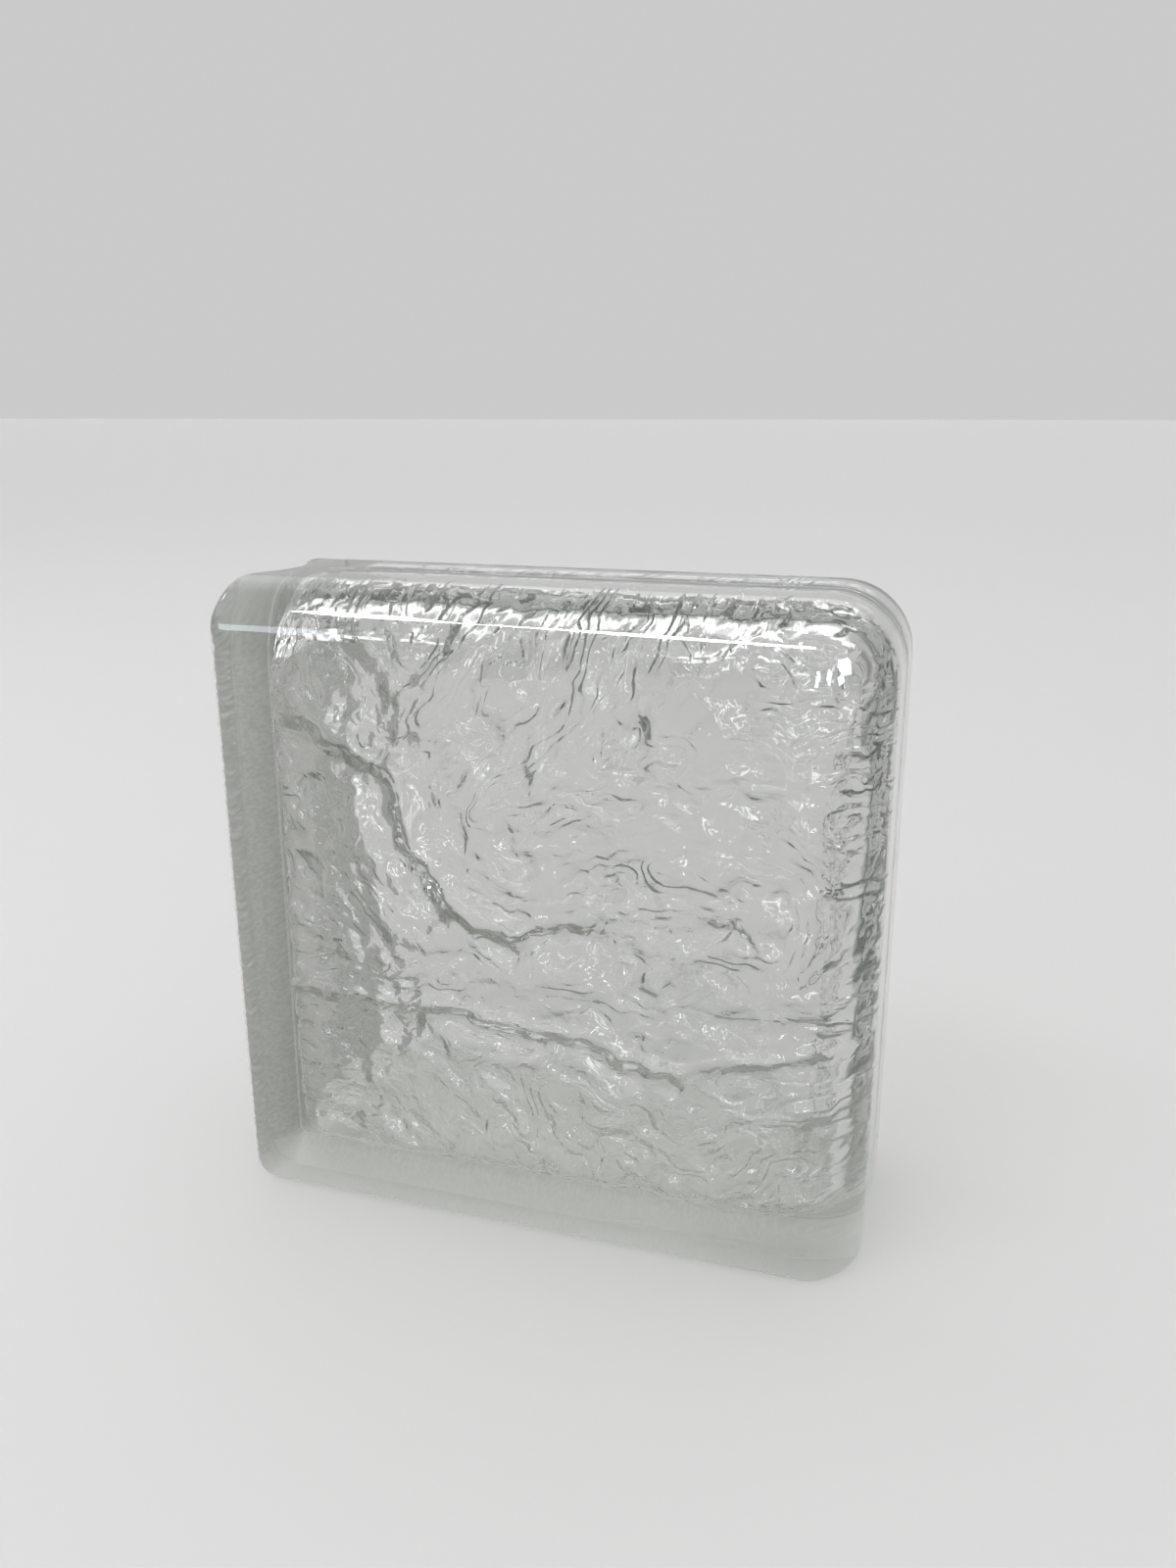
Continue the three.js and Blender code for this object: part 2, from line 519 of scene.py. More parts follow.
@dataclass
class Cup:
    """One half of the cavity: a finely divided face, drawn back to the seam by extruding its outline."""

    name: str
    sections: list[Section]
    pitch: float

    def build(self) -> bpy.types.Object:
        """Builds the cup, open at the seam.

        Returns:
            The new object, with its place in its mesh.
        """
        piece = self._outline()
        self._fill(piece)
        bpy.ops.mesh.select_mode(type="EDGE")
        for here, after in zip(self.sections, self.sections[1:]):
            select_open_edges(piece)
            self._extrude_to(here, after)
        close_shell(inside=False)
        return piece

    def _outline(self) -> bpy.types.Object:
        """The rounded outline of the face, divided at the pitch.

        Returns:
            The outline as edges only, still being edited.
        """
        first = self.sections[0]
        piece = add_rectangle(self.name, first)
        radius = first.radii[Corner.TOP_RIGHT]
        bpy.ops.object.mode_set(mode="EDIT")
        bpy.ops.mesh.select_mode(type="VERT")
        bpy.ops.mesh.select_all(action="SELECT")
        arc_steps = 2 * round(radius * QUARTER_TURN / self.pitch / 2)
        bpy.ops.mesh.bevel(affect="VERTICES", offset=radius, segments=arc_steps, profile=0.5)
        bpy.ops.mesh.delete(type="ONLY_FACE")
        self._divide_sides(piece, 2 * radius, 1)
        side = (first.right - first.left - 2 * radius) / 2
        self._divide_sides(piece, radius, round(side / self.pitch) - 1)
        return piece

    def _divide_sides(self, piece: bpy.types.Object, shortest: float, cuts: int) -> None:
        """Cuts every edge of the outline that is longer than the shortest.

        Args:
            piece: the object being edited.
            shortest: edges up to this length stay whole.
            cuts: how many cuts each edge gets.
        """
        select_edges(piece, lambda edge: edge.calc_length() > shortest)
        bpy.ops.mesh.subdivide(number_cuts=cuts)

    def _fill(self, piece: bpy.types.Object) -> None:
        """Fills the outline with a grid whose corners lie in the middle of the corner arcs.

        Args:
            piece: the object being edited.
        """
        bpy.ops.mesh.select_mode(type="VERT")
        bpy.ops.mesh.select_all(action="SELECT")
        mesh = edit_mesh(piece)
        corner = max(mesh.verts, key=lambda vertex: vertex.co.x + vertex.co.z)
        mesh.select_history.clear()
        mesh.select_history.add(corner)
        bmesh.update_edit_mesh(piece.data)
        bpy.ops.mesh.fill_grid(span=len(mesh.verts) // len(Corner), offset=0)

    def _extrude_to(self, here: Section, after: Section) -> None:
        """Extrudes the selected outline to the next section, widening it to that section's size.

        Args:
            here: the section that the outline has reached.
            after: the next section.
        """
        bpy.ops.mesh.extrude_edges_move(TRANSFORM_OT_translate={"value": (0, after.y - here.y, 0)})
        centre = Vector(((here.left + here.right) / 2, after.y, (here.bottom + here.top) / 2))
        wider = (after.right - after.left) / (here.right - here.left)
        taller = (after.top - after.bottom) / (here.top - here.bottom)
        bpy.ops.transform.resize(value=(wider, 1, taller), center_override=centre)
        shift_x = (after.left + after.right - here.left - here.right) / 2
        shift_z = (after.bottom + after.top - here.bottom - here.top) / 2
        bpy.ops.transform.translate(value=(shift_x, 0, shift_z))


# ---------------------------------------------------------------- node helpers


@dataclass
class Nodes:
    """Adds and wires the nodes of one tree."""

    tree: bpy.types.NodeTree

    def add(self, kind: str, **settings: Any) -> bpy.types.Node:
        """Adds a node and sets its values.

        Args:
            kind: the node's type.
            settings: its values, by name.

        Returns:
            The new node.
        """
        node = self.tree.nodes.new(kind)
        for name, value in settings.items():
            setattr(node, name, value)
        return node

    def feed(self, socket: Socket, value: Any) -> None:
        """Gives a socket a link or a plain value.

        Args:
            socket: the socket to fill.
            value: another node's output, or a plain value.
        """
        if isinstance(value, Socket):
            self.tree.links.new(value, socket)
        else:
            socket.default_value = value

    def math(self, operation: str, first: Any, second: Any = 0.0, third: Any = 0.0) -> Socket:
        """A math node's result.

        Args:
            operation: the node's operation.
            first, second, third: links or numbers that it works on.

        Returns:
            The result.
        """
        node = self.add("ShaderNodeMath", operation=operation)
        for socket, value in zip(node.inputs, (first, second, third)):
            self.feed(socket, value)
        return node.outputs[0]

    def times(self, first: Any, second: Any) -> Socket:
        """The product of two values."""
        return self.math("MULTIPLY", first, second)

    def vector(self, operation: str, first: Any, second: Any = (0.0, 0.0, 0.0)) -> Socket:
        """A vector math node's result.

        Args:
            operation: the node's operation.
            first, second: links or vectors that it works on.

        Returns:
            The resulting vector.
        """
        node = self.add("ShaderNodeVectorMath", operation=operation)
        self.feed(node.inputs[0], first)
        self.feed(node.inputs[1], second)
        return node.outputs[0]

    def scale(self, vector: Any, factor: Any) -> Socket:
        """A vector times a number.

        Args:
            vector: a link or a vector.
            factor: a link or a number.

        Returns:
            The scaled vector.
        """
        node = self.add("ShaderNodeVectorMath", operation="SCALE")
        self.feed(node.inputs[0], vector)
        self.feed(node.inputs["Scale"], factor)
        return node.outputs[0]

    def split(self, vector: Any) -> Sockets:
        """A vector taken apart.

        Args:
            vector: a link or a vector.

        Returns:
            Its X, Y and Z.
        """
        node = self.add("ShaderNodeSeparateXYZ")
        self.feed(node.inputs[0], vector)
        return tuple(node.outputs)

    def combine(self, x: Any = 0.0, y: Any = 0.0, z: Any = 0.0) -> Socket:
        """A vector put together.

        Args:
            x, y, z: links or numbers.

        Returns:
            The vector.
        """
        node = self.add("ShaderNodeCombineXYZ")
        for socket, value in zip(node.inputs, (x, y, z)):
            self.feed(socket, value)
        return node.outputs[0]

    def mix(self, share: Any, first: Any, second: Any) -> Socket:
        """A blend of two colours: the first at share 0, the second at share 1.

        Args:
            share: how much of the second colour there is.
            first, second: links or colours.

        Returns:
            The blended colour.
        """
        node = self.add("ShaderNodeMix", data_type="RGBA")
        for index, value in zip(MIX_INPUTS, (share, first, second)):
            self.feed(node.inputs[index], value)
        return node.outputs[2]

    def dot(self, first: Any, second: Any) -> Socket:
        """The dot product of two vectors.

        Args:
            first, second: links or vectors.

        Returns:
            The product, as a number.
        """
        node = self.add("ShaderNodeVectorMath", operation="DOT_PRODUCT")
        self.feed(node.inputs[0], first)
        self.feed(node.inputs[1], second)
        return node.outputs["Value"]

    def store(self, mesh: Any, name: str, kind: str, value: Any) -> Socket:
        """Keeps a value on a mesh under a name, for the glass to read.

        Args:
            mesh: the mesh, as a link.
            name: the name that it is kept under.
            kind: the value's type.
            value: the value at each vertex.

        Returns:
            The mesh with the value on it.
        """
        store = self.add("GeometryNodeStoreNamedAttribute", data_type=kind, domain="POINT")
        self.feed(store.inputs["Geometry"], mesh)
        store.inputs["Name"].default_value = name
        self.feed(store.inputs["Value"], value)
        return store.outputs[0]

    def move(self, mesh: Any, offset: Any) -> Socket:
        """Moves each vertex of a mesh.

        Args:
            mesh: the mesh, as a link.
            offset: how far each vertex moves, as a vector.

        Returns:
            The moved mesh.
        """
        move = self.add("GeometryNodeSetPosition")
        self.feed(move.inputs["Geometry"], mesh)
        self.feed(move.inputs["Offset"], offset)
        return move.outputs[0]

    def ramp(self, value: Any, low: float, high: float) -> Socket:
        """A soft step from 0 at the low value to 1 at the high one.

        Args:
            value: the value that it follows.
            low, high: where the step starts and ends.

        Returns:
            The step.
        """
        ramp = self.add("ShaderNodeMapRange", interpolation_type="SMOOTHSTEP")
        self.feed(ramp.inputs["Value"], value)
        ramp.inputs["From Min"].default_value = low
        ramp.inputs["From Max"].default_value = high
        return ramp.outputs["Result"]

    def noise(self, place: Any, size: float, detail: float = 1.0, **values: float) -> Socket:
        """A smooth noise whose features are about the given size.

        Args:
            place: the vector it reads.
            size: size of its features, in metres.
            detail: how many finer layers it has.
            values: other inputs, by name.

        Returns:
            The noise's value, from 0 to 1.
        """
        node = self.add("ShaderNodeTexNoise", noise_type="FBM", normalize=True)
        self.feed(node.inputs["Vector"], place)
        node.inputs["Scale"].default_value = 1 / size
        node.inputs["Detail"].default_value = detail
        for name, value in values.items():
            node.inputs[name].default_value = value
        return node.outputs["Fac"]


def geometry_tree(name: str) -> tuple[Nodes, bpy.types.Node, bpy.types.Node]:
    """A new geometry tree, as its nodes, its way in and its way out.

    Args:
        name: the tree's name.

    Returns:
        Its nodes, the node that mesh comes in by, and the one it goes out by.
    """
    tree = bpy.data.node_groups.new(name, "GeometryNodeTree")
    for way in ("INPUT", "OUTPUT"):
        tree.interface.new_socket(name="Geometry", in_out=way, socket_type="NodeSocketGeometry")
    nodes = Nodes(tree)
    return nodes, nodes.add("NodeGroupInput"), nodes.add("NodeGroupOutput")


# ---------------------------------------------------------------- ice relief


@dataclass(frozen=True)
class Crease:
    """A long fold in the relief, drawn on the front face as it is seen from outside."""

    name: str
    places: tuple[tuple[float, float], ...]
    width: float
    height: float

    def guide(self) -> bpy.types.Object:
        """Draws the fold's line by extruding a point along it.

        Returns:
            The line, as a mesh of edges only.
        """
        clear_selection()
        across, up = self.places[0]
        bpy.ops.mesh.primitive_plane_add(size=1 * MM, location=(across, 0, up))
        line = bpy.context.object
        line.name = self.name
        settle(line)
        bpy.ops.object.mode_set(mode="EDIT")
        bpy.ops.mesh.select_mode(type="VERT")
        bpy.ops.mesh.select_all(action="SELECT")
        bpy.ops.mesh.merge(type="CENTER")
        for here, after in zip(self.places, self.places[1:]):
            step = (after[0] - here[0], 0, after[1] - here[1])
            bpy.ops.mesh.extrude_vertices_move(TRANSFORM_OT_translate={"value": step})
        bpy.ops.object.mode_set(mode="OBJECT")
        return line


@dataclass(frozen=True)
class IceRelief:
    """The frozen-looking relief that the plunger presses into the inside of a face.

    Each size is the width of its features across the face, and each height is how far they rise and fall.
    The start is the place in the endless pattern that the block's origin falls on.
    """

    creases: tuple[Crease, ...]
    start: tuple[float, float, float] = (0.31, 0.0, 0.217)
    drift: float = 9 * MM
    drift_size: float = 40 * MM
    fold_drift: float = 0.25
    jag: float = 1.5 * MM
    jag_size: float = 5 * MM
    flake_size: float = 24 * MM
    flake_height: float = 1.2 * MM
    flake_smoothness: float = 0.15
    ridge_size: float = 20 * MM
    ridge_height: float = 2 * MM
    wrinkle_size: float = 9 * MM
    wrinkle_height: float = 1.6 * MM
    ripple_size: float = 4.6 * MM
    ripple_height: float = 0.55 * MM
    crest_rounding: float = 0.045
    crest_steepness: float = 4.0
    distortion: float = 0.3
    flow_stretch: float = 0.6
    calm_size: float = 34 * MM
    calm_edge: tuple[float, float] = (0.38, 0.6)
    calm_share: float = 0.5
    side_share: float = 0.3
    face_edge: tuple[float, float] = (0.15, 0.75)
    side_edge: tuple[float, float] = (0.2, 0.7)
    seam_edge: tuple[float, float] = (3 * MM, 14 * MM)
    streak_size: float = 4 * MM
    streak_height: float = 0.6 * MM
    streak_stretch: float = 0.22
    limit: float = 3 * MM

    def height(self, nodes: Nodes, place: Any) -> Sockets:
        """The relief over a place of the face: flakes, ridges, wrinkles that follow the folds, and the folds.

        Args:
            nodes: where the nodes go.
            place: the place on the face.

        Returns:
            The height, the coordinates that follow the folds, and how lively the skin is.
        """
        shifted = nodes.vector("ADD", place, self.start)
        warped = nodes.vector("ADD", shifted, self._drift(nodes, shifted, self.drift_size, self.drift))
        finer = self._drift(nodes, shifted, self.drift_size * self.fold_drift, self.drift * self.fold_drift)
        wandered = nodes.vector("ADD", place, finer)
        wandered = nodes.vector("ADD", wandered, self._drift(nodes, shifted, self.jag_size, self.jag))
        total = nodes.times(self._ridges(nodes, warped, self.ridge_size), self.ridge_height)
        total = nodes.math("MULTIPLY_ADD", self._flakes(nodes, warped), self.flake_height, total)
        flow = self._flow(nodes, warped, wandered)
        awake = nodes.ramp(nodes.noise(shifted, self.calm_size), *self.calm_edge)
        lively = nodes.math("MULTIPLY_ADD", awake, 1 - self.calm_share, self.calm_share)
        wrinkles = nodes.times(self._ridges(nodes, flow, self.wrinkle_size), lively)
        total = nodes.math("MULTIPLY_ADD", wrinkles, self.wrinkle_height, total)
        ripples = nodes.times(self._ridges(nodes, flow, self.ripple_size), lively)
        total = nodes.math("MULTIPLY_ADD", ripples, self.ripple_height, total)
        for crease in self.creases:
            total = nodes.math("ADD", total, self._fold(nodes, wandered, crease))
        total = nodes.math("MINIMUM", nodes.math("MAXIMUM", total, -self.limit), self.limit)
        return total, flow, lively

    def _drift(self, nodes: Nodes, place: Any, size: float, amount: float) -> Socket:
        """A wandering shift of about the given amount."""
        wander = nodes.noise(place, size).node.outputs["Color"]
        return nodes.scale(nodes.vector("SUBTRACT", wander, (0.5, 0.5, 0.5)), 2 * amount)

    def _ridges(self, nodes: Nodes, place: Any, size: float) -> Socket:
        """Sharp-crested ridges of a size, from about -0.5 to 0.5.

        Args:
            nodes: where the nodes go.
            place: the place that it is worked out for.
            size: distance from one ridge to the next.

        Returns:
            The height.
        """
        noise = nodes.noise(place, size, Distortion=self.distortion)
        centred = nodes.math("SUBTRACT", noise, 0.5)
        squared = nodes.math("MULTIPLY_ADD", centred, centred, self.crest_rounding ** 2)
        return nodes.math("MULTIPLY_ADD", nodes.math("POWER", squared, 0.5), -self.crest_steepness, 0.5)

    def _flakes(self, nodes: Nodes, place: Any) -> Socket:
        """Flat flakes at heights of their own, from -0.5 to 0.5.

        Args:
            nodes: where the nodes go.
            place: the place that it is worked out for.

        Returns:
            The height.
        """
        cells = nodes.add("ShaderNodeTexVoronoi", feature="SMOOTH_F1")
        nodes.feed(cells.inputs["Vector"], place)
        cells.inputs["Scale"].default_value = 1 / self.flake_size
        cells.inputs["Smoothness"].default_value = self.flake_smoothness
        return nodes.math("SUBTRACT", nodes.split(cells.outputs["Color"])[Axis.X], 0.5)

    def _streaks(self, nodes: Nodes, place: Any) -> Socket:
        """Long ridges that run slantwise over the finished sides.

        Args:
            nodes: where the nodes go.
            place: the place that it is worked out for.

        Returns:
            The height.
        """
        x, y, z = nodes.split(place)
        round_way = nodes.math("ADD", x, z)
        across = nodes.math("SUBTRACT", round_way, y)
        along = nodes.times(nodes.math("ADD", round_way, y), self.streak_stretch)
        return self._ridges(nodes, nodes.combine(across, along), self.streak_size)

    def _distance(self, nodes: Nodes, place: Any, creases: Iterable[Crease]) -> Socket:
        """Distance over the face to the nearest of the folds' lines.

        Args:
            nodes: where the nodes go.
            place: the place that it is worked out for.
            creases: the folds.

        Returns:
            The distance.
        """
        lines = nodes.add("GeometryNodeJoinGeometry")
        for crease in creases:
            line = nodes.add("GeometryNodeObjectInfo")
            line.inputs["Object"].default_value = bpy.data.objects[crease.name]
            nodes.feed(lines.inputs[0], line.outputs["Geometry"])
        near = nodes.add("GeometryNodeProximity", target_element="EDGES")
        nodes.feed(near.inputs[0], lines.outputs[0])
        nodes.feed(near.inputs["Sample Position"], nodes.vector("MULTIPLY", place, (1.0, 0.0, 1.0)))
        return near.outputs["Distance"]

    def _flow(self, nodes: Nodes, warped: Any, wandered: Any) -> Socket:
        """Coordinates that run quickly across the folds and slowly along them.

        Args:
            nodes: where the nodes go.
            warped: the place, shifted widely.
            wandered: the place, shifted a little.

        Returns:
            The coordinates.
        """
        along_x, _, along_z = nodes.split(nodes.scale(warped, self.flow_stretch))
        return nodes.combine(self._distance(nodes, wandered, self.creases), along_x, along_z)

    def _fold(self, nodes: Nodes, place: Any, crease: Crease) -> Socket:
        """One long fold: high along its line, falling away smoothly on both sides.

        Args:
            nodes: where the nodes go.
            place: the place that it is worked out for.
            crease: the fold.

        Returns:
            The height.
        """
        share = nodes.math("DIVIDE", self._distance(nodes, place, [crease]), crease.width)
        fall = nodes.math("EXPONENT", nodes.times(nodes.math("POWER", share, 2.0), -1.0))
        return nodes.times(fall, crease.height)

    def _reach(self, nodes: Nodes, place: Any, normal: Any) -> tuple[Socket, Socket]:
        """Shares of the relief on the face, and on the finished sides until close to the seam.

        Args:
            nodes: where the nodes go.
            place: the place that it is worked out for.
            normal: the surface's normal there.

        Returns:
            The share on the face, and the share on the finished sides.
        """
        x, y, z = nodes.split(normal)
        face = nodes.ramp(nodes.math("ABSOLUTE", y), *self.face_edge)
        finished = nodes.ramp(nodes.math("MAXIMUM", x, z), *self.side_edge)
        from_seam = nodes.ramp(nodes.math("ABSOLUTE", nodes.split(place)[Axis.Y]), *self.seam_edge)
        return face, nodes.times(finished, from_seam)

    def tree(self) -> bpy.types.NodeTree:
        """A geometry tree that lifts a face by the relief along its normals, and marks it for the glass.

        Returns:
            The tree, for a nodes modifier.
        """
        nodes, start, end = geometry_tree("ice_relief")
        place = nodes.add("GeometryNodeInputPosition").outputs[0]
        normal = nodes.add("GeometryNodeInputNormal").outputs[0]
        height, flow, lively = self.height(nodes, place)
        face, sides = self._reach(nodes, place, normal)
        reach = nodes.math("MAXIMUM", face, nodes.times(sides, self.side_share))
        streaks = nodes.times(self._streaks(nodes, place), self.streak_height)
        streaks = nodes.times(streaks, sides)
        lift = nodes.math("MULTIPLY_ADD", height, reach, streaks)
        mesh = nodes.store(start.outputs[0], FLOW, "FLOAT_VECTOR", flow)
        mesh = nodes.store(mesh, LIVELY, "FLOAT", nodes.math("MAXIMUM", nodes.times(lively, face), sides))
        nodes.feed(end.inputs[0], nodes.move(mesh, nodes.scale(normal, lift)))
        return nodes.tree

    def press(self, *faces: bpy.types.Object) -> None:
        """Presses the relief into faces, and clears its guide lines away.

        Args:
            faces: the objects to press it into.
        """
        guides = [crease.guide() for crease in self.creases]
        for face in faces:
            apply_modifier(face, "NODES", node_group=self.tree())
        clear_selection()
        for guide in guides:
            guide.select_set(True)
        bpy.ops.object.delete()


@dataclass(frozen=True)
class MortarRibs:
    """Fine uneven ribs across the lips that take the mortar, on two sides, and the matt skin there.

    Args:
        low, high: corners of the block's box.
        rim: how far behind the face the ribs start.
        lip: where the lip ends behind the face.
        key: depth of the key behind the lip.
        reach: how far inside the box's side a place still counts as lip.
        slack: how far past its ends a place still counts as lip.
    """

    low: Vector
    high: Vector
    rim: float
    lip: float
    key: float
    reach: float = 3.6 * MM
    pitch: float = 1.2 * MM
    depth: float = 0.6 * MM
    stretch: tuple[float, float, float] = (1.0, 0.12, 1.0)
    edge: tuple[float, float] = (0.3, 0.7)
    underside_share: float = 0.15
    steps_along: tuple[int, int] = (16, 16)
    key_steps: int = 14
    long_edge: float = 100 * MM
    short_edge: float = 4 * MM
    slack: float = 0.1 * MM
    end_fade: tuple[float, float] = (6.5 * MM, 19.5 * MM)
    fade: float = 0.5 * MM
    corner_lean: float = 2.0
    matt_from: float = -0.05

    def press(self, shell: bpy.types.Object) -> None:
        """Divides the lips finely and presses the ribs into them.

        Args:
            shell: the outside of one half, open at the seam.
        """
        for axis in (Axis.X, Axis.Z):
            for cuts, shortest in zip(self.steps_along, (self.long_edge, self.short_edge)):
                self._divide(shell, lambda place: self._on_lip(place, axis), cuts, shortest)
            self._divide(shell, lambda place: self._in_key(place, axis), self.key_steps, self.long_edge)
        apply_modifier(shell, "NODES", node_group=self.tree())

    def _divide(
        self, shell: bpy.types.Object, wanted: Callable[[Vector], bool], cuts: int, shortest: float
    ) -> None:
        """Cuts the edges whose ends are both wanted and that are longer than the shortest.

        Args:
            shell: the object to divide.
            wanted: tells whether a place is wanted.
            cuts: how many cuts each edge gets.
            shortest: edges up to this length stay whole.
        """

        def chosen(edge: bmesh.types.BMEdge) -> bool:
            """Whether an edge is long enough and lies on a wanted place at both ends."""
            return edge.calc_length() > shortest and all(wanted(vertex.co) for vertex in edge.verts)

        activate(shell)
        bpy.ops.object.mode_set(mode="EDIT")
        select_edges(shell, chosen)
        bpy.ops.mesh.subdivide(number_cuts=cuts)
        bpy.ops.object.mode_set(mode="OBJECT")

    def _on_lip(self, place: Vector, axis: Axis) -> bool:
        """Whether a place lies on the flat lip that faces along an axis.

        Args:
            place: the place.
            axis: X for the left lip, Z for the bottom one.

        Returns:
            Whether it does.
        """
        flush = abs(place[axis] - self.low[axis]) < self.reach
        from_face = place.y - self.low.y
        return flush and self.rim - self.slack < from_face < self.lip + self.slack

    def _in_key(self, place: Vector, axis: Axis) -> bool:
        """Whether a place lies in the key behind the lip that faces along an axis."""
        near = abs(place[axis] - self.low[axis]) < self.key + self.reach
        return near and place.y - self.low.y > self.lip + self.slack

    def tree(self) -> bpy.types.NodeTree:
        """A geometry tree that sinks the ribs into both lips and marks the matt sides.

        Returns:
            The tree, for a nodes modifier.
        """
        nodes, start, end = geometry_tree("mortar_ribs")
        place = nodes.add("GeometryNodeInputPosition").outputs[0]
        spot = nodes.split(place)
        from_face = nodes.math("SUBTRACT", spot[Axis.Y], self.low.y)
        behind_rim = nodes.ramp(from_face, self.rim, self.rim + self.fade)
        before_key = nodes.ramp(from_face, self.lip, self.lip - self.fade)
        sink = nodes.times(self._ribs(nodes, place), nodes.times(behind_rim, before_key))
        on_left = self._side(nodes, spot, Axis.X, Axis.Z)
        below = nodes.times(self._side(nodes, spot, Axis.Z, Axis.X), self.underside_share)
        offset = nodes.combine(x=nodes.times(sink, on_left), z=nodes.times(sink, below))
        below_top = self._short_of(nodes, spot[Axis.Z], self.high.z)
        matt = nodes.times(self._mortar_side(nodes), below_top)
        mesh = nodes.store(start.outputs[0], SAND, "FLOAT", nodes.times(matt, behind_rim))
        nodes.feed(end.inputs[0], nodes.move(mesh, offset))
        return nodes.tree

    def _ribs(self, nodes: Nodes, place: Any) -> Socket:
        """How deep the ribs are at a place, wherever it lies."""
        stretched = nodes.vector("MULTIPLY", place, self.stretch)
        return nodes.times(nodes.ramp(nodes.noise(stretched, self.pitch), *self.edge), self.depth)

    def _mortar_side(self, nodes: Nodes) -> Socket:
        """1 where the surface faces left, down or in between, 0 elsewhere.

        Args:
            nodes: where the nodes go.

        Returns:
            The mark.
        """
        x, _, z = nodes.split(nodes.add("GeometryNodeInputNormal").outputs[0])
        larger = nodes.math("MAXIMUM", x, z)
        lean = nodes.math("MULTIPLY_ADD", larger, self.corner_lean, nodes.math("MINIMUM", x, z))
        return nodes.math("LESS_THAN", lean, self.matt_from)

    def _side(self, nodes: Nodes, spot: Sockets, facing: Axis, along: Axis) -> Socket:
        """1 on the lip that faces along one axis, softly 0 at its far end.

        Args:
            nodes: where the nodes go.
            spot: X, Y and Z of the place that it is worked out for.
            facing: the axis that the lip faces along.
            along: the axis that the lip runs along.

        Returns:
            The mark.
        """
        flush = nodes.math("LESS_THAN", spot[facing], self.low[facing] + self.reach)
        return nodes.times(flush, self._short_of(nodes, spot[along], self.high[along]))

    def _short_of(self, nodes: Nodes, value: Any, limit: float) -> Socket:
        """1 up to a little before a finished side, softly 0 there."""
        nearest, farthest = self.end_fade
        return nodes.ramp(value, limit - nearest, limit - farthest)


def scaled(*places: tuple[float, float]) -> tuple[tuple[float, float], ...]:
    """Places given in millimetres, in metres."""
    return tuple((across * MM, up * MM) for across, up in places)


def long_creases() -> tuple[Crease, ...]:
    """The long folds that stand out on the front face, and faint ones that its wrinkles follow.

    Returns:
        The folds, with a hollow beside the two longest.
    """
    left = scaled((-72, 158), (-61, 149), (-49, 143), (-40, 137), (-34, 116), (-23, 101), (-6, 95))
    across = scaled(
        (-77, 69), (-60, 69), (-41, 68), (-27, 69), (-4, 66), (7, 65), (17, 66), (25, 61), (42, 58)
    )
    right = scaled((45, 60), (56, 64), (78, 69))
    low = scaled((-14, 47), (-8, 40), (-4, 34), (-2, 26))
    swirl = scaled((-66, 172), (-70, 162), (-62, 154), (-56, 163))
    upper = scaled((-6, 172), (-18, 155), (-34, 142))
    middle = scaled((-6, 95), (16, 104), (44, 108), (65, 107))
    beside_left = tuple((x - VALLEY_BESIDE, z - VALLEY_DROP) for x, z in left[2:6])
    below_across = tuple((x, z - LONG_VALLEY_DROP) for x, z in across[3:])
    return (
        Crease("left_fold", left, width=3.6 * MM, height=2.4 * MM),
        Crease("left_valley", beside_left, width=4.2 * MM, height=-2.6 * MM),
        Crease("long_fold", across, width=2.4 * MM, height=1.8 * MM),
        Crease("long_valley", below_across, width=3 * MM, height=-1.8 * MM),
        Crease("right_fold", right, width=1.6 * MM, height=1.3 * MM),
        Crease("low_fold", low, width=1.4 * MM, height=0.9 * MM),
        Crease("middle_fold", middle, width=2.5 * MM, height=0.4 * MM),
        Crease("corner_swirl", swirl, width=2 * MM, height=0.5 * MM),
        Crease("upper_flow", upper, width=2 * MM, height=0.4 * MM),
    )


# ---------------------------------------------------------------- glass


